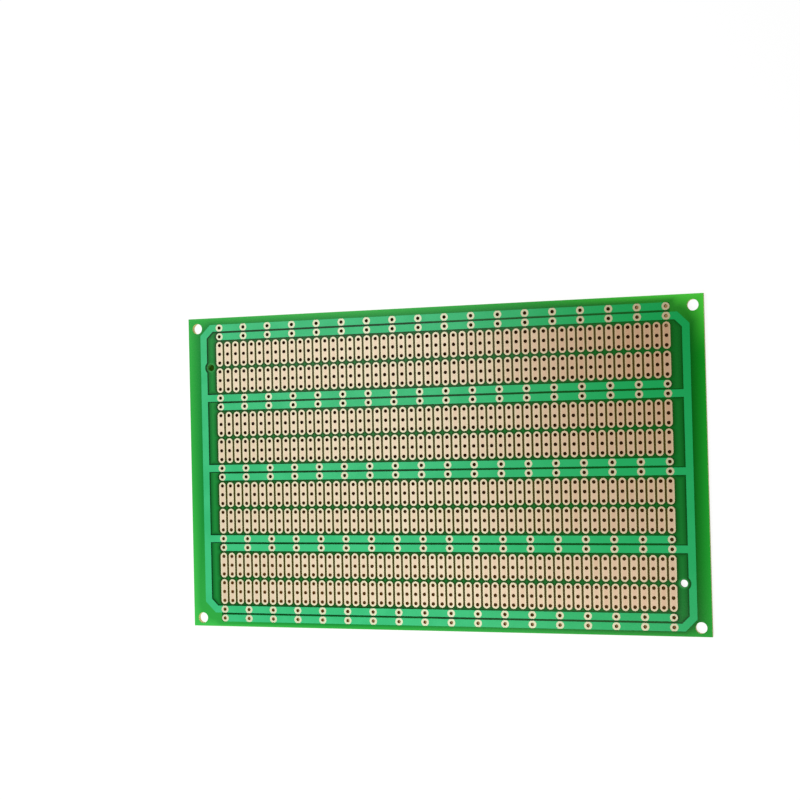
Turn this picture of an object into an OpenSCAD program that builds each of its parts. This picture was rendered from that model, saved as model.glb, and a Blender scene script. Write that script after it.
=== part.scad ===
// Single-sided prototype board, 52 columns by 34 rows of lead holes.
// It lies copper side up on z = 0, with the middle of its outline over the origin.
// X runs along the board, and Y runs from the front edge to the rear edge.

/* [Hole grid] */
// Distance between neighbouring lead holes, both ways
pitch = 2.54; // [2.3:0.01:3]
// Diameter of each lead hole
lead_hole_d = 1; // [0.7:0.05:1.2]
// Solder pads on each bus rail
rail_pads = 18; // [3:1:22]
// Columns from one rail pad to the next
pad_step = 3; // [1:1:4]
// Blocks of strips, with a pair of rails before, between and after them
blocks = 4; // [1:1:5]
// Rows of strips in each block
rows_per_block = 2; // [1:1:3]
// Holes in each strip
strip_holes = 3; // [2:1:5]

/* [Laminate] */
// Thickness of the laminate
board_t = 1.2; // [0.8:0.1:2.4]
// From the centre line of each end trace to the end of the board
end_margin = 4.75; // [4:0.05:8]
// From the rear row of holes to the rear edge
rear_margin = 2.95; // [2:0.05:6]
// From the front row of holes to the front edge
front_margin = 2.35; // [2:0.05:6]

/* [Copper] */
// Thickness of the foil
foil_t = 0.035; // [0.018:0.001:0.105]
// Bare line between neighbouring strips
strip_gap = 0.5; // [0.35:0.01:0.8]
// Bare line between the two rails of a pair
rail_gap = 0.56; // [0.45:0.01:0.8]
// From the outer column of holes to the centre line of the end trace
end_trace_offset = 5.08; // [4.6:0.02:8]
// What each 45 degree corner takes off the two centre lines that it joins
corner_cut = 2.54; // [2:0.02:4.5]

/* [Solder mask] */
// Thickness of the mask on top of the copper
mask_t = 0.02; // [0.018:0.001:0.04]
// How far the mask between the traces lies below the mask on them
mask_sag = 0.01; // [0.002:0.001:0.014]
// Bare ring between a strip and the mask round it
mask_clearance = 0.05; // [0.02:0.01:0.12]
// How far the round opening at a pad reaches past the edges of its rail
pad_reveal = 0.1; // [0.02:0.01:0.15]

/* [Corner holes] */
// Diameter of the four corner holes
corner_hole_d = 3; // [2:0.1:3.6]
// From the centre line of the end trace out to a corner hole
corner_hole_out = 1.95; // [1.5:0.05:2.4]

/* [Tooling holes] */
// Diameter of the two tooling holes
tooling_hole_d = 2; // [1:0.1:2.4]
// From the centre line of the end trace in to a tooling hole
tooling_hole_in = 2.25; // [1.6:0.05:2.6]
// Bare ring between a tooling hole and the copper
tooling_clearance = 0.9; // [0.3:0.05:1]

/* [Hidden] */
$fn = 48;
columns = (rail_pads - 1) * pad_step + 1;
// Rows of the grid that a pair of rails takes up
rails_in_pair = 2;
rows_in_block = rails_in_pair + rows_per_block * strip_holes;
rows = blocks * rows_in_block + rails_in_pair;
strip_rows = blocks * rows_per_block;

// Copper widths follow from the pitch and the bare lines
strip_w = pitch - strip_gap;
track_w = pitch - rail_gap;
pad_opening_d = track_w + 2 * pad_reveal;

// The grid is centred on x = 0, and its margins place it between the long edges
grid_y = (front_margin - rear_margin) / 2;
end_trace_x = column_x(columns - 1) + end_trace_offset;
corner_hole_x = end_trace_x + corner_hole_out;
tooling_hole_x = end_trace_x - tooling_hole_in;
tooling_hole_y = row_y(1 + (rows_in_block - 1) / 2);
board_l = 2 * (end_trace_x + end_margin);
board_w = (rows - 1) * pitch + rear_margin + front_margin;

// The mask between the traces still laps the side of the mask on them
low_mask_t = foil_t + mask_t - mask_sag;

// Column 0 is at the left end, row 0 at the rear
function column_x(i) = (i - (columns - 1) / 2) * pitch;
function row_y(j) = ((rows - 1) / 2 - j) * pitch;

// The rear rail of each pair belongs to the left comb, the front rail to the right comb
function rear_rail_row(b) = b * rows_in_block;

// Strip rows count from 1 at the rear, and this is the grid row of a strip's middle
function strip_middle_row(r) =
  floor((r - 1) / rows_per_block) * rows_in_block + rails_in_pair
  + ((r - 1) % rows_per_block) * strip_holes + (strip_holes - 1) / 2;

module on_grid() translate([0, grid_y]) children();

module both_ways() for (turn = [0, 180]) rotate(turn) children();

module at_rail_pads(j) for (k = [0:rail_pads - 1]) translate([column_x(k * pad_step), row_y(j)]) children();

module at_strips(r) for (i = [0:columns - 1]) translate([column_x(i), row_y(strip_middle_row(r))]) children();

module at_comb_rails() for (b = [0:blocks]) at_rail_pads(rear_rail_row(b)) children();

module at_strip_holes()
  for (k = [0:strip_holes - 1]) translate([0, (k - (strip_holes - 1) / 2) * pitch]) children();

// A strip's outline, grown by a margin for its opening in the mask
module strip_shape(margin) {
  length = (strip_holes - 1) * pitch;
  square([strip_w + 2 * margin, length], center = true);
  for (y = [-length, length] / 2) translate([0, y]) circle(d = strip_w + 2 * margin);
}

module corner_holes()
  for (x = [-1, 1] * corner_hole_x, y = [row_y(0), row_y(rows - 1)]) translate([x, y]) circle(d = corner_hole_d);

module tooling_holes(margin)
  both_ways() translate([-tooling_hole_x, tooling_hole_y]) circle(d = tooling_hole_d + 2 * margin);

// End trace with its two cut corners and the first and last rails, as one outline
module comb_spine() {
  half = track_w / 2;
  mitre = half * tan(45 / 2);
  rear = row_y(0);
  front = row_y(rows - rails_in_pair);
  tip = column_x(columns - 1);
  polygon([
    [tip, rear + half],
    [-end_trace_x + corner_cut - mitre, rear + half],
    [-end_trace_x - half, rear - corner_cut + mitre],
    [-end_trace_x - half, front + corner_cut - mitre],
    [-end_trace_x + corner_cut - mitre, front - half],
    [tip, front - half],
    [tip, front + half],
    [-end_trace_x + corner_cut + mitre, front + half],
    [-end_trace_x + half, front + corner_cut + mitre],
    [-end_trace_x + half, rear - corner_cut - mitre],
    [-end_trace_x + corner_cut + mitre, rear - half],
    [tip, rear - half]
  ]);
}

// Left comb before drilling; the right comb is the same shape turned half round
module comb_shape() difference() {
  union() {
    comb_spine();
    for (b = [1:1:blocks - 1])
      translate([-end_trace_x, row_y(rear_rail_row(b)) - track_w / 2])
        square([end_trace_x + column_x(columns - 1), track_w]);
    for (b = [0:blocks]) translate([column_x(columns - 1), row_y(rear_rail_row(b))]) circle(d = track_w);
  }
  tooling_holes(tooling_clearance);
}

module lead_holes() {
  for (r = [1:strip_rows]) at_strips(r) at_strip_holes() circle(d = lead_hole_d);
  both_ways() at_comb_rails() circle(d = lead_hole_d);
}

// Phenolic paper base, punched right through
module laminate() color("#c9c552") linear_extrude(board_t) difference() {
  square([board_l, board_w], center = true);
  on_grid() {
    lead_holes();
    corner_holes();
    tooling_holes(0);
  }
}

module foil() color("#e8cba4") translate([0, 0, board_t]) linear_extrude(foil_t) on_grid() children();

module drilled_comb() difference() {
  comb_shape();
  at_comb_rails() circle(d = lead_hole_d);
}

module left_bus_comb() foil() drilled_comb();

module right_bus_comb() foil() rotate(180) drilled_comb();

// One row of separate copper strips, each joining the holes along its length
module strip_row(r) foil() at_strips(r) difference() {
  strip_shape(0);
  at_strip_holes() circle(d = lead_hole_d);
}

// Mask that lies straight on the laminate, open at every strip and pad
module mask_between_traces() difference() {
  square([board_l, board_w], center = true);
  on_grid() {
    both_ways() comb_shape();
    both_ways() at_comb_rails() circle(d = pad_opening_d);
    for (r = [1:strip_rows]) at_strips(r) strip_shape(mask_clearance);
    corner_holes();
    tooling_holes(0);
  }
}

// Mask that lies on the two combs, open at every pad
module mask_on_combs() on_grid() both_ways() difference() {
  comb_shape();
  at_comb_rails() circle(d = pad_opening_d);
}

module solder_mask() color("#2f9e55") translate([0, 0, board_t]) {
  linear_extrude(low_mask_t) mask_between_traces();
  translate([0, 0, foil_t]) linear_extrude(mask_t) mask_on_combs();
}

laminate();
solder_mask();
left_bus_comb();
right_bus_comb();
for (r = [1:strip_rows]) strip_row(r);
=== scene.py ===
import math

import bpy
from mathutils import Matrix, Vector


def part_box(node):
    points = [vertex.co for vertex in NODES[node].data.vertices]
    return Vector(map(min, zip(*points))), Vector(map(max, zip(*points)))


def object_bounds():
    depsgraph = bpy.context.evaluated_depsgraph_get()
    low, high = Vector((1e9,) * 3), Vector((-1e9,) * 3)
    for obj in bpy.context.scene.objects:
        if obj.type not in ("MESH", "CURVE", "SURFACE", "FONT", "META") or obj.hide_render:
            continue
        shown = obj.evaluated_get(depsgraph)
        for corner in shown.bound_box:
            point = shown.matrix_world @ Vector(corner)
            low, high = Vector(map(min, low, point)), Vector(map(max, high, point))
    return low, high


# Looks of a single-sided prototype board: bare copper strips, two bus combs under a green mask, and a
# yellow paper laminate. Lengths are in metres, in the board's own frame.

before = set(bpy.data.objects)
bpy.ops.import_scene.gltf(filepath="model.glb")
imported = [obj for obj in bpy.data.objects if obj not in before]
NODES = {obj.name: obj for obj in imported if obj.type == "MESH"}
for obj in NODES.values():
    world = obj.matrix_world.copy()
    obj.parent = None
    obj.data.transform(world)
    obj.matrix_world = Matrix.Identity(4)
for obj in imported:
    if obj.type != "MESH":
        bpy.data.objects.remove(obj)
cad_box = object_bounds()

MM = 0.001
STRIP_ROWS = sorted(name for name in NODES if name.startswith("strip_row_"))
COMBS = ["left_bus_comb", "right_bus_comb"]

# Camera: where it stands, what it looks at, and what is up in its picture
CAMERA_AT = Vector((0.13452, 0.01105, 0.40333))
CAMERA_AIM = Vector((-0.00960, 0.01917, 0.00124))
CAMERA_UP = Vector((0.02516, 1.0, 0.0))
LENS_MM = 69.3
SENSOR_MM = 36.0

# Layout of the copper, counted in holes
COLUMNS = 52
STRIP_HOLES = 3
ROWS_IN_BLOCK = 8
BLOCKS = 4

# Tooling holes, from the middle of the hole grid
LEFT_TOOLING_HOLE = (-67.6 * MM, 30.48 * MM, 0)
RIGHT_TOOLING_HOLE = (67.6 * MM, -30.48 * MM, 0)
TOOLING_HOLE_R = 1.0 * MM

# Copper and mask are at their lightest up to the first of these places along X, and in full painted shade
# past the second
SHADE_STARTS_AT_X = -10 * MM
SHADE_FULL_FROM_X = 62 * MM

# Distances from the outline of the copper, less than 0 on it. Each pair is where something begins and
# where it is full: the rim on a strip, the etched edge on both sides of its outline, the dark mask round
# it, the mask near any copper and in the open, which are painted shade darkening towards the copper,
# partly also thicker mask there, and what the paper shows of the copper on its far side.
RIM = (-0.6 * MM, -0.1 * MM)
ETCHING = (0.1 * MM, 0.04 * MM)
ROUND_STRIP = (0.7 * MM, 0.25 * MM)
NEAR_COPPER = (0.2 * MM, 0.6 * MM)
IN_THE_OPEN = (0.3 * MM, 1.6 * MM)
UNDER_COPPER = (0.25 * MM, -0.25 * MM)

# The same for the space between two strips, past their end holes, and for the ring round a tooling hole
BETWEEN_STRIPS = (0.5 * MM, 0.1 * MM)
HOLE_RING = (0.6 * MM, 0.1 * MM)

# How far along X and Y the border is painted paler, as light, from its rear right corner, and from its front
# left one
REAR_CORNER_REACH = (50 * MM, 17 * MM)
FRONT_CORNER_REACH = (50 * MM, 50 * MM)

# A point this close to a strip's outline still counts as on the strip
SLACK = 0.05 * MM

# The mask lies this much lower where no copper is under it
MASK_SAG = 0.01 * MM

# The floor is a square that reaches this far each way, a hair below the board
FLOOR_HALF = 6.0
FLOOR_BELOW_BOARD = 0.02 * MM


def srgb(red, green, blue):
    """A colour of 0 to 255 each, as the linear colour that a shader takes."""
    def channel(value):
        part = value / 255
        return part / 12.92 if part <= 0.04045 else ((part + 0.055) / 1.055) ** 2.4
    return channel(red), channel(green), channel(blue), 1.0


WHITE = srgb(255, 255, 255)

# Bare copper: two tones that it is clouded with, and a darker one, for random dulling from strip to strip
# and along fine lines and for painted shade towards the right end and the rear. The pads on the combs keep
# more of their flux than the strips do, and are paler and yellower.
STRIP_TONES = [srgb(237, 218, 189), srgb(232, 211, 181), srgb(201, 158, 120)]
PAD_TONES = [srgb(226, 231, 194), srgb(222, 227, 190), srgb(197, 184, 142)]

# The rim of a strip, and in painted shade towards the right end and the rear, and the brown of its etched
# edge
STRIP_RIM = srgb(232, 228, 190)
STRIP_RIM_SHADED = srgb(204, 178, 134)
ETCHED_EDGE = srgb(148, 116, 56)

# Mask on copper, clouded with two tones, and in painted shade towards the right end and the rear
MASK_ON_COPPER = srgb(66, 197, 129)
MASK_ON_COPPER_DEEP = srgb(58, 189, 121)
MASK_ON_COPPER_SHADED = srgb(22, 172, 88)

# Mask on the laminate among the copper: round the strips, in the lines between them, and browner there
# towards the right end and the rear, between rails, next to any copper and in the open. It is darker the
# nearer the copper is: painted shade, partly also thicker mask there.
MASK_AT_STRIPS = srgb(32, 74, 22)
MASK_IN_LINE = srgb(62, 54, 8)
MASK_IN_LINE_TOWARDS_RIGHT = srgb(76, 54, 0)
MASK_AT_RAILS = srgb(2, 52, 16)
MASK_NEAR_COPPER = srgb(16, 106, 42)
MASK_OPEN = srgb(30, 136, 56)

# Mask on the border next to the combs, and the painted shade that all the mask on the laminate turns to
# towards the right end
MASK_OUTSIDE = srgb(16, 132, 50)
MASK_SHADED_AT_RIGHT = srgb(0, 96, 12)

# Mask at the board's edge, paler as painted light that enters the laminate there: on the left, in painted
# shade at the right end, and painted paler still at two corners
MASK_AT_EDGE = srgb(52, 180, 68)
MASK_AT_EDGE_SHADED = srgb(8, 156, 26)
MASK_AT_REAR_CORNER = srgb(84, 226, 66)
MASK_AT_FRONT_CORNER = srgb(70, 200, 82)

# The ring of thin mask round a tooling hole, and the hole's wall, which the mask has run into
MASK_AT_HOLE = srgb(58, 158, 78)
TOOLING_HOLE_WALL = srgb(96, 172, 76)

# Laminate: the paper's face, its cloudy patches, its fibres, what lies under the copper, the layers at
# its sheared edge, and its copper side where no mask covers it
PAPER = srgb(199, 194, 78)
PAPER_CLOUD = srgb(190, 182, 66)
PAPER_FIBRE = srgb(211, 207, 104)
PAPER_UNDER_COPPER = srgb(190, 178, 68)
PAPER_EDGE = srgb(230, 225, 158)
PAPER_EDGE_LAYER = srgb(204, 190, 112)
BARE_LINE = srgb(40, 22, 6)

# The walls of its lead holes, painted dark as the shade inside them, and paler towards the front as painted
# light that gets under the board there
HOLE_WALL_SHADE = srgb(92, 60, 24)
HOLE_WALL_LIT_AT_FRONT = srgb(184, 140, 68)

# Floor, and what shows of it through the lead holes: painted shade under the board, and a painted glow of
# the light that gets under its front and its rear right corner. Through the left tooling hole it is painted
# a deep green shade.
FLOOR = srgb(243, 243, 243)
FLOOR_SHADE_UNDER_BOARD = srgb(110, 84, 44)
GLOW_UNDER_BOARD = srgb(46, 26, 4)
GLOW_AT_FRONT = srgb(98, 70, 28)
GLOW_AT_RIM = srgb(178, 140, 92)
GLOW_AT_TOOLING_HOLE = srgb(0, 62, 0)


class Graph:
    """Short calls that build one node tree. A value is a number, a colour or another node's output."""

    def __init__(self, tree):
        self.tree = tree
        tree.nodes.clear()

    def node(self, kind, feeds=None, **settings):
        made = self.tree.nodes.new("ShaderNode" + kind)
        for name, value in settings.items():
            setattr(made, name, value)
        for name, value in (feeds or {}).items():
            self.feed(made.inputs[name], value)
        return made

    def feed(self, socket, value):
        if isinstance(value, bpy.types.NodeSocket):
            self.tree.links.new(value, socket)
        else:
            socket.default_value = value

    def math(self, operation, *values):
        made = self.tree.nodes.new("ShaderNodeMath")
        made.operation = operation
        for socket, value in zip(made.inputs, values):
            self.feed(socket, value)
        return made.outputs[0]

    def add(self, first, *others):
        for value in others:
            first = self.math("ADD", first, value)
        return first

    def less(self, first, second):
        return self.math("SUBTRACT", first, second)

    def times(self, first, second):
        return self.math("MULTIPLY", first, second)

    def over(self, first, second):
        return self.math("DIVIDE", first, second)

    def size(self, value):
        return self.math("ABSOLUTE", value)

    def least(self, first, *others):
        for value in others:
            first = self.math("MINIMUM", first, value)
        return first

    def most(self, first, *others):
        for value in others:
            first = self.math("MAXIMUM", first, value)
        return first

    def above(self, value, limit):
        """1 where a value is more than a limit, and 0 elsewhere."""
        return self.math("GREATER_THAN", value, limit)

    def below(self, value, limit):
        """1 where a value is less than a limit, and 0 elsewhere."""
        return self.math("LESS_THAN", value, limit)

    def length(self, x, y):
        return self.math("SQRT", self.add(self.times(x, x), self.times(y, y)))

    def rise(self, value, start, end):
        """0 before start, 1 past end, and a smooth curve between them. Start may be the larger one."""
        feeds = {"Value": value, "From Min": start, "From Max": end}
        return self.node("MapRange", feeds, interpolation_type="SMOOTHSTEP").outputs[0]

    def spread(self, value, low, high):
        """A value of 0 to 1 as one of low to high."""
        feeds = {"Value": value, "To Min": low, "To Max": high}
        return self.node("MapRange", feeds).outputs[0]

    def blend(self, factor, first, second):
        """The first colour where the factor is 0, and the second where it is 1."""
        made = self.node("Mix", data_type="RGBA")
        for number, value in ((0, factor), (6, first), (7, second)):
            self.feed(made.inputs[number], value)
        return made.outputs[2]

    def parts(self, vector):
        """X, Y and Z of a vector."""
        return self.node("SeparateXYZ", {"Vector": vector}).outputs

    def noise(self, place, size, detail=3.0, stretch=(1, 1, 1)):
        """Noise of 0 to 1 in patches about size across, and longer along an axis of larger stretch."""
        scale = tuple(1 / (size * part) for part in stretch)
        scaled = self.node("Mapping", {"Vector": place, "Scale": scale}).outputs[0]
        return self.node("TexNoise", {"Vector": scaled, "Scale": 1.0, "Detail": detail}).outputs[0]

    def bump(self, height, depth):
        return self.node("Bump", {"Height": height, "Distance": depth}).outputs[0]


class Layout:
    """Where the copper lies, read from the boxes of the nodes, and its distances as shader values.

    All its methods take X and Y from the middle of the hole grid.
    """

    def __init__(self):
        low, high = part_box(STRIP_ROWS[0])
        next_low, next_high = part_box(STRIP_ROWS[1])
        self.pitch = (low.y + high.y - next_low.y - next_high.y) / 2 / STRIP_HOLES
        self.strip_half = (high.x - low.x - (COLUMNS - 1) * self.pitch) / 2
        self.last_column = (COLUMNS - 1) / 2 * self.pitch
        low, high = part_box("left_bus_comb")
        self.track_half = (high.y - low.y - BLOCKS * ROWS_IN_BLOCK * self.pitch) / 2
        self.end_trace = -low.x - self.track_half
        self.last_row = (BLOCKS * ROWS_IN_BLOCK + 1) / 2 * self.pitch
        self.middle_y = high.y - self.track_half - self.last_row
        low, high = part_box("laminate")
        self.half_length = high.x
        self.half_width = high.y
        self.mask_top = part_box("solder_mask")[1].z

    def past_outline(self, g, x, y, last_row):
        """Distance outwards from a line along the end traces, the cut corners and a row on each side."""
        across = g.size(x)
        along = g.size(y)
        cut = g.less(g.add(across, along), g.add(last_row, self.end_trace - self.pitch))
        straight = g.most(g.less(across, self.end_trace), g.less(along, last_row))
        return g.most(straight, g.times(cut, math.sqrt(0.5)))

    def past_combs(self, g, x, y):
        """Distance outwards from the centre line of the outermost copper."""
        return self.past_outline(g, x, y, self.last_row)

    def past_spine(self, g, x, y):
        """Distance outwards from the centre line of each comb's end trace, cut corners and last rail."""
        inner = g.above(g.times(x, y), 0.0)
        return self.past_outline(g, x, y, g.less(self.last_row, g.times(inner, self.pitch)))

    def past_all_copper(self, g, x, y):
        """Distance outwards from the copper on the border, and where a last rail stops short."""
        beyond_rail = g.less(g.size(x), self.last_column)
        at_corner = g.least(beyond_rail, self.past_spine(g, x, y))
        return g.most(g.less(g.most(self.past_combs(g, x, y), at_corner), self.track_half), 0.0)

    def to_board_edge(self, g, x, y):
        """Distance to the nearest edge of the board."""
        from_middle = g.size(g.add(y, self.middle_y))
        return g.least(g.less(self.half_length, g.size(x)), g.less(self.half_width, from_middle))

    def from_rail_pair(self, g, y):
        """Distance along Y from the middle of the nearest pair of rails, less than 0 in front of it."""
        half_block = ROWS_IN_BLOCK * self.pitch / 2
        return g.math("WRAP", y, half_block, -half_block)

    def past_strip_holes(self, g, y):
        """Distance along Y past the end holes of the nearest strip, less than 0 between them."""
        reach = (STRIP_HOLES - 1) / 2 * self.pitch
        strip_middle = (ROWS_IN_BLOCK - STRIP_HOLES) * self.pitch / 2
        past_strip = g.less(g.size(g.less(g.size(self.from_rail_pair(g, y)), strip_middle)), reach)
        return g.most(past_strip, g.less(g.size(y), self.last_row - 2 * self.pitch))

    def between_strips(self, g, x, y):
        """1 where a strip has a neighbour beside it, and 0 at its round ends and past the last column."""
        past = g.most(g.less(g.size(x), self.last_column), self.past_strip_holes(g, y))
        return g.rise(past, *BETWEEN_STRIPS)

    def to_copper(self, g, x, y):
        """Distance to the nearest strip, and to the nearest part of a comb, less than 0 on it."""
        across = g.size(x)
        past = g.most(g.less(across, self.last_column), 0.0)
        from_line = g.math("PINGPONG", g.least(across, self.last_column), self.pitch / 2)
        from_column = g.add(g.less(self.pitch / 2, from_line), past)
        along_strip = g.most(self.past_strip_holes(g, y), 0.0)
        strip = g.less(g.length(from_column, along_strip), self.strip_half)

        from_pair = self.from_rail_pair(g, y)
        apart = g.above(g.times(x, from_pair), 0.0)
        past_rail = g.add(g.times(past, apart), g.most(g.less(across, self.end_trace), 0.0))
        off_pair = g.less(g.size(from_pair), self.pitch / 2)
        rail = g.less(g.length(off_pair, past_rail), self.track_half)

        out = self.past_spine(g, x, y)
        rail = g.most(rail, g.less(out, self.track_half))
        spine = g.less(g.size(out), self.track_half)
        return strip, g.least(rail, spine)


LAYOUT = Layout()


def place_of(g):
    """The place on the board as a vector, then its X, and its Y from the middle of the hole grid."""
    whole = g.node("TexCoord").outputs["Object"]
    parts = g.parts(whole)
    return whole, parts[0], g.less(parts[1], LAYOUT.middle_y)


def distance_from(g, x, y, point):
    flat = g.node("CombineXYZ", {"X": x, "Y": y}).outputs[0]
    return g.node("VectorMath", {0: flat, 1: point}, operation="DISTANCE").outputs["Value"]


def from_tooling_hole(g, x, y):
    """Distance from the middle of the nearest tooling hole."""
    from_left = distance_from(g, x, y, LEFT_TOOLING_HOLE)
    from_right = distance_from(g, x, y, RIGHT_TOOLING_HOLE)
    return g.least(from_left, from_right)


def near_corner(g, x, y, side, reach):
    """1 at a corner of the board, falling to 0 at a distance along X and another along Y."""
    across = g.over(g.less(x, side[0] * LAYOUT.half_length), reach[0])
    along = g.over(g.less(y, side[1] * LAYOUT.half_width), reach[1])
    return g.rise(g.length(across, along), 1.0, 0.0)


def towards_right(g, x):
    """0 over the left half of the board, rising to 1 near its right end."""
    return g.rise(x, SHADE_STARTS_AT_X, SHADE_FULL_FROM_X)


def painted_shade_to_right(g, x, y):
    """0 on the left of the board, rising towards its right end, and more at the rear than in front: painted
    shade where the light falls off.
    """
    rearwards = g.spread(g.rise(y, -0.5 * LAYOUT.last_row, 1.2 * LAYOUT.last_row), 0.6, 1.05)
    return g.least(g.times(towards_right(g, x), rearwards), 1.0)


def towards_front(g, x, y):
    """0 in the rear half of the board, rising to 1 at its front left and to half that at its front right."""
    leftwards = g.spread(g.rise(x, -LAYOUT.last_column, LAYOUT.last_column), 1.0, 0.5)
    return g.times(g.rise(y, 3 * LAYOUT.pitch, -LAYOUT.last_row), leftwards)


def new_material(name):
    material = bpy.data.materials.new(name)
    material.use_nodes = True
    return material, Graph(material.node_tree)


def new_surface(name):
    """A material, its graph and the inputs of its one surface shader."""
    material, g = new_material(name)
    shader = g.node("BsdfPrincipled")
    g.node("OutputMaterial", {"Surface": shader.outputs[0]})
    return material, g, shader.inputs


def dress(names, material):
    for name in names:
        slots = NODES[name].data.materials
        slots.clear()
        slots.append(material)


def bare_copper(name, tones):
    """Scrubbed copper: cloudy, a little different from strip to strip, with fine lines along the board, and
    in painted shade towards the right end and the rear.
    """
    pale, warm, dull = tones
    material, g, shader = new_surface(name)
    whole, x, y = place_of(g)
    column = g.math("FLOOR", g.over(x, LAYOUT.pitch))
    row = g.math("FLOOR", g.over(y, ROWS_IN_BLOCK / 2 * LAYOUT.pitch))
    each = g.node("CombineXYZ", {"X": column, "Y": row}).outputs[0]
    own = g.node("TexWhiteNoise", {"Vector": each}).outputs[0]
    clouds = g.noise(whole, size=2.2 * MM, detail=4.0)
    lines = g.noise(whole, size=0.07 * MM, detail=2.0, stretch=(14, 1, 1))
    colour = g.blend(g.rise(clouds, 0.35, 0.7), pale, warm)
    # Painted shade towards the right end and the rear, mixed with random dulling from strip to strip and
    # along the fine lines
    shade_to_right = painted_shade_to_right(g, x, y)
    dulled = g.add(g.times(shade_to_right, 0.85), g.times(own, 0.15), g.times(lines, 0.15))
    colour = g.blend(dulled, colour, dull)

    to_strip = LAYOUT.to_copper(g, x, y)[0]
    # The rim takes the same painted shade towards the right end and the rear
    rim = g.blend(shade_to_right, STRIP_RIM, STRIP_RIM_SHADED)
    by_rim = g.times(g.rise(to_strip, *RIM), g.below(to_strip, SLACK))
    colour = g.blend(g.times(by_rim, 0.9), colour, rim)
    etched = g.times(g.rise(g.size(to_strip), *ETCHING), LAYOUT.between_strips(g, x, y))
    colour = g.blend(etched, colour, ETCHED_EDGE)
    g.feed(shader["Base Color"], colour)
    g.feed(shader["Roughness"], g.spread(clouds, 0.38, 0.46))
    g.feed(shader["Normal"], g.bump(lines, depth=0.004 * MM))
    shader["Metallic"].default_value = 0.1
    return material


def mask_on_laminate(g, x, y, shade_to_right):
    """The mask where no copper is under it: among the strips and rails, on the border and at a hole."""
    to_strip, to_comb = LAYOUT.to_copper(g, x, y)
    gap = g.least(to_strip, to_comb)
    by_strip = g.rise(to_strip, *ROUND_STRIP)
    # Darker the nearer the copper is: painted shade, partly also thicker mask next to the copper
    colour = g.blend(g.rise(gap, *NEAR_COPPER), MASK_AT_RAILS, MASK_NEAR_COPPER)
    colour = g.blend(g.rise(gap, *IN_THE_OPEN), colour, MASK_OPEN)
    colour = g.blend(by_strip, colour, MASK_AT_STRIPS)

    past = LAYOUT.past_all_copper(g, x, y)
    outside = g.above(past, 0.0)
    colour = g.blend(outside, colour, MASK_OUTSIDE)
    # Painted shade towards the right end, strongest on the border
    shade_at_right = g.spread(outside, g.times(shade_to_right, 0.7), g.times(towards_right(g, x), 0.95))
    colour = g.blend(shade_at_right, colour, MASK_SHADED_AT_RIGHT)

    # The border turns to its edge colour on the way to the board's edge, and a little sooner at a corner:
    # painted light that enters the laminate at its edge
    share = g.over(past, g.add(past, LAYOUT.to_board_edge(g, x, y)))
    rear_corner = near_corner(g, x, y, side=(1, 1), reach=REAR_CORNER_REACH)
    front_corner = near_corner(g, x, y, side=(-1, -1), reach=FRONT_CORNER_REACH)
    # Painted shade at the right end, and painted light at two corners
    edge = g.blend(shade_to_right, MASK_AT_EDGE, MASK_AT_EDGE_SHADED)
    edge = g.blend(rear_corner, edge, MASK_AT_REAR_CORNER)
    edge = g.blend(front_corner, edge, MASK_AT_FRONT_CORNER)
    by_corner = g.add(g.times(rear_corner, 0.3), g.times(front_corner, 0.5))
    colour = g.blend(g.most(share, g.times(by_corner, outside)), colour, edge)

    # The lines between strips turn browner towards the right end and the rear
    line = g.blend(shade_to_right, MASK_IN_LINE, MASK_IN_LINE_TOWARDS_RIGHT)
    colour = g.blend(g.times(by_strip, LAYOUT.between_strips(g, x, y)), colour, line)
    ring = g.rise(g.less(from_tooling_hole(g, x, y), TOOLING_HOLE_R), *HOLE_RING)
    return g.blend(g.times(ring, 0.6), colour, MASK_AT_HOLE)


def green_mask():
    """Solder mask: light over the combs, darker on the laminate the nearer the copper is as painted shade,
    partly also thicker mask, and in painted shade towards the right end and the rear.
    """
    material, g, shader = new_surface("green_mask")
    whole, x, y = place_of(g)
    clouds = g.noise(whole, size=6 * MM, detail=4.0)
    grain = g.noise(whole, size=0.35 * MM, detail=2.0)
    shade_to_right = painted_shade_to_right(g, x, y)
    on_copper = g.blend(g.rise(clouds, 0.3, 0.7), MASK_ON_COPPER, MASK_ON_COPPER_DEEP)
    # Painted shade towards the right end and the rear
    on_copper = g.blend(shade_to_right, on_copper, MASK_ON_COPPER_SHADED)
    height = g.parts(whole)[2]
    raised = g.above(height, LAYOUT.mask_top - MASK_SAG / 2)
    colour = g.blend(raised, mask_on_laminate(g, x, y, shade_to_right), on_copper)
    colour = g.blend(g.spread(grain, 0.0, 0.1), colour, MASK_OPEN)
    g.feed(shader["Base Color"], colour)
    g.feed(shader["Roughness"], g.spread(grain, 0.22, 0.32))
    g.feed(shader["Normal"], g.bump(g.add(grain, g.times(clouds, 3.0)), depth=0.002 * MM))
    shader["Specular IOR Level"].default_value = 0.13
    return material


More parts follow.
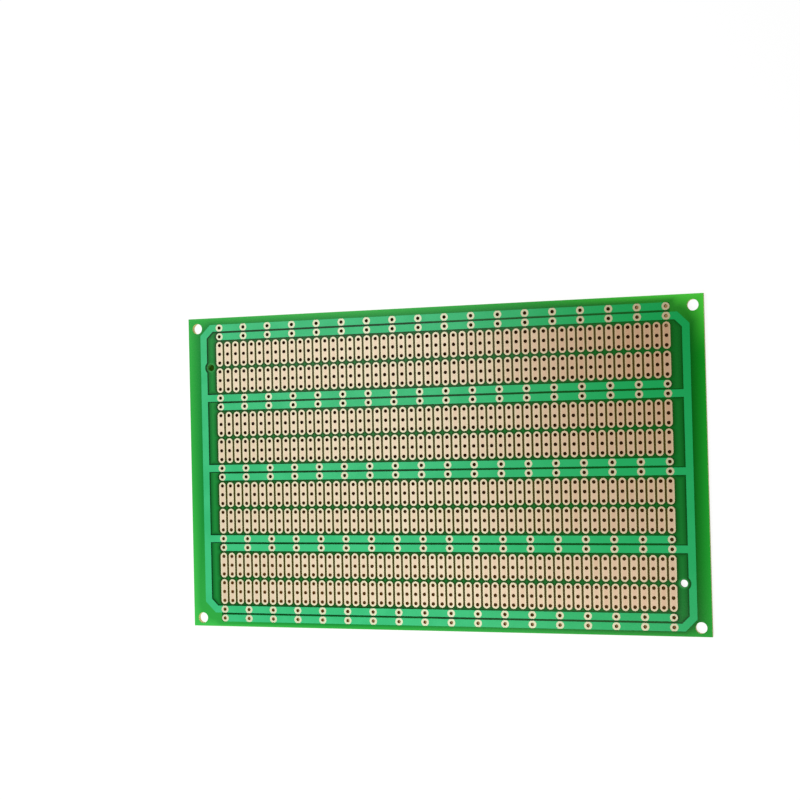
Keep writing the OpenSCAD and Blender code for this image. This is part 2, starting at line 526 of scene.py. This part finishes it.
def paper_laminate():
    """Phenolic paper: yellow and cloudy with short fibres, layered at its edge, painted dark brown as shade
    in its lead holes.
    """
    material, g, shader = new_surface("paper_laminate")
    whole, x, y = place_of(g)
    clouds = g.noise(whole, size=9 * MM, detail=5.0)
    fibres = g.noise(whole, size=0.12 * MM, detail=3.0, stretch=(9, 2, 1))
    layers = g.noise(whole, size=0.1 * MM, detail=2.0, stretch=(12, 12, 1))

    to_copper = g.least(*LAYOUT.to_copper(g, x, y))
    back = g.blend(g.rise(clouds, 0.3, 0.75), PAPER, PAPER_CLOUD)
    back = g.blend(g.times(g.rise(to_copper, *UNDER_COPPER), 0.35), back, PAPER_UNDER_COPPER)
    back = g.blend(g.times(g.rise(fibres, 0.5, 0.8), 0.5), back, PAPER_FIBRE)

    edge = g.blend(g.times(layers, 0.6), PAPER_EDGE, PAPER_EDGE_LAYER)
    # Painted shade in the lead holes, lighter towards the front as painted light from under the board
    in_hole = g.blend(towards_front(g, x, y), HOLE_WALL_SHADE, HOLE_WALL_LIT_AT_FRONT)
    by_tooling_hole = g.below(from_tooling_hole(g, x, y), TOOLING_HOLE_R + 0.1 * MM)
    in_hole = g.blend(by_tooling_hole, in_hole, TOOLING_HOLE_WALL)
    at_rim = g.above(LAYOUT.past_combs(g, x, y), LAYOUT.track_half)
    wall = g.blend(at_rim, in_hole, edge)

    facing = g.parts(g.node("NewGeometry").outputs["Normal"])[2]
    flat = g.above(g.size(facing), 0.5)
    upwards = g.above(facing, 0.5)
    colour = g.blend(flat, wall, g.blend(upwards, back, BARE_LINE))
    g.feed(shader["Base Color"], colour)
    g.feed(shader["Roughness"], g.spread(fibres, 0.5, 0.65))
    g.feed(shader["Normal"], g.bump(fibres, depth=0.006 * MM))
    shader["Specular IOR Level"].default_value = 0.2
    return material


def aim_camera():
    """The photograph's view, from above the right end of the board, looking down and to the left."""
    camera = bpy.data.objects.new("camera", bpy.data.cameras.new("camera"))
    bpy.context.scene.collection.objects.link(camera)
    back = (CAMERA_AT - CAMERA_AIM).normalized()
    right = CAMERA_UP.cross(back).normalized()
    turn = Matrix((right, back.cross(right), back)).transposed()
    camera.matrix_world = Matrix.Translation(CAMERA_AT) @ turn.to_4x4()
    camera.data.lens = LENS_MM
    camera.data.sensor_width = SENSOR_MM
    camera.data.sensor_fit = "HORIZONTAL"
    camera.data.clip_start = 0.01
    camera.data.clip_end = 20.0
    bpy.context.scene.camera = camera


def add_lamp(name, at, aim, size, watts):
    """A square soft lamp that lights the board and isn't seen itself."""
    data = bpy.data.lights.new(name, "AREA")
    data.size = size
    data.energy = watts
    lamp = bpy.data.objects.new(name, data)
    lamp.location = at
    lamp.rotation_euler = (Vector(aim) - Vector(at)).to_track_quat("-Z", "Y").to_euler()
    lamp.visible_camera = False
    bpy.context.scene.collection.objects.link(lamp)


def seen_directly(g):
    """1 for what the camera sees, straight or in a gloss or through glass."""
    path = g.node("LightPath").outputs
    return g.most(path["Is Camera Ray"], path["Is Glossy Ray"], path["Is Transmission Ray"])


def light_world(horizon=0.45, zenith=0.05):
    """Pale light from all round, and hardly any from overhead, so that no glare lies on the mask.

    The horizon shows white.
    """
    world = bpy.data.worlds.new("studio")
    bpy.context.scene.world = world
    world.use_nodes = True
    g = Graph(world.node_tree)
    up = g.parts(g.node("TexCoord").outputs["Generated"])[2]
    high = g.rise(up, 0.3, 0.9)
    strength = g.spread(high, g.spread(seen_directly(g), horizon, 1.0), zenith)
    light = g.node("Background", {"Color": WHITE, "Strength": strength})
    g.node("OutputWorld", {"Surface": light.outputs[0]})


def seen_through_holes(g, x, y):
    """What the drilled field shows of the floor under it: painted shade, with painted light in the front row
    and at the rear right.
    """
    colour = g.blend(towards_front(g, x, y), GLOW_UNDER_BOARD, GLOW_AT_FRONT)
    pitch = LAYOUT.pitch
    front_row = g.rise(y, 0.7 * pitch - LAYOUT.last_row, 0.3 * pitch - LAYOUT.last_row)
    front_row = g.times(front_row, g.spread(g.rise(x, 0.0, LAYOUT.last_column), 1.0, 0.45))
    rear_right = LAYOUT.last_column + 2 * LAYOUT.last_row
    corner = g.rise(g.add(x, g.times(y, 2.0)), rear_right - 6 * pitch, rear_right - 1.5 * pitch)
    colour = g.blend(g.times(g.most(front_row, corner), 0.7), colour, GLOW_AT_RIM)
    by_hole = g.below(distance_from(g, x, y, LEFT_TOOLING_HOLE), TOOLING_HOLE_R + 0.5 * MM)
    return g.blend(by_hole, colour, GLOW_AT_TOOLING_HOLE)


def white_floor():
    """Pale and matt for the light, and white to the eye, apart from what the drilled field covers, which is
    painted shade and light.

    What the eye sees is one part matt floor, which keeps the board's shadow, and four parts glow, which
    is a little stronger far off, where the lamps reach less.
    """
    material, g = new_material("floor")
    x, y = place_of(g)[1:]
    past_field = g.above(LAYOUT.past_combs(g, x, y), LAYOUT.track_half + 0.3 * MM)
    by_hole = g.below(distance_from(g, x, y, RIGHT_TOOLING_HOLE), TOOLING_HOLE_R + 0.5 * MM)
    clear = g.most(past_field, by_hole)
    # Under the drilled field the floor is dark brown, painted shade
    matt = g.node("BsdfDiffuse", {"Color": g.blend(clear, FLOOR_SHADE_UNDER_BOARD, FLOOR)})
    shown = g.blend(clear, seen_through_holes(g, x, y), WHITE)
    far = g.rise(g.length(x, y), 0.3, 1.5)
    glow = g.node("Emission", {"Color": shown, "Strength": g.spread(far, 1.12, 1.25)})
    share = g.times(seen_directly(g), 0.8)
    both = g.node("MixShader", {0: share, 1: matt.outputs[0], 2: glow.outputs[0]})
    g.node("OutputMaterial", {"Surface": both.outputs[0]})
    return material


def lay_floor():
    corners = [(-1, -1), (1, -1), (1, 1), (-1, 1)]
    points = [(x * FLOOR_HALF, y * FLOOR_HALF, 0) for x, y in corners]
    mesh = bpy.data.meshes.new("floor")
    mesh.from_pydata(points, [], [(0, 1, 2, 3)])
    mesh.materials.append(white_floor())
    floor = bpy.data.objects.new("floor", mesh)
    floor.location.z = cad_box[0].z - FLOOR_BELOW_BOARD
    bpy.context.scene.collection.objects.link(floor)


bpy.context.scene.view_settings.view_transform = "Standard"
dress(STRIP_ROWS, bare_copper("strip_copper", STRIP_TONES))
dress(COMBS, bare_copper("pad_copper", PAD_TONES))
dress(["solder_mask"], green_mask())
dress(["laminate"], paper_laminate())
aim_camera()
light_world()
lay_floor()
add_lamp("front_lamp", at=(0.0, -0.143, 0.202), aim=(0.0, -0.1429, 0.0), size=0.12, watts=0.385)
add_lamp("rear_lamp", at=(-0.092, 0.098, 0.20), aim=(-0.02, 0.0, 0.0), size=0.18, watts=0.293)
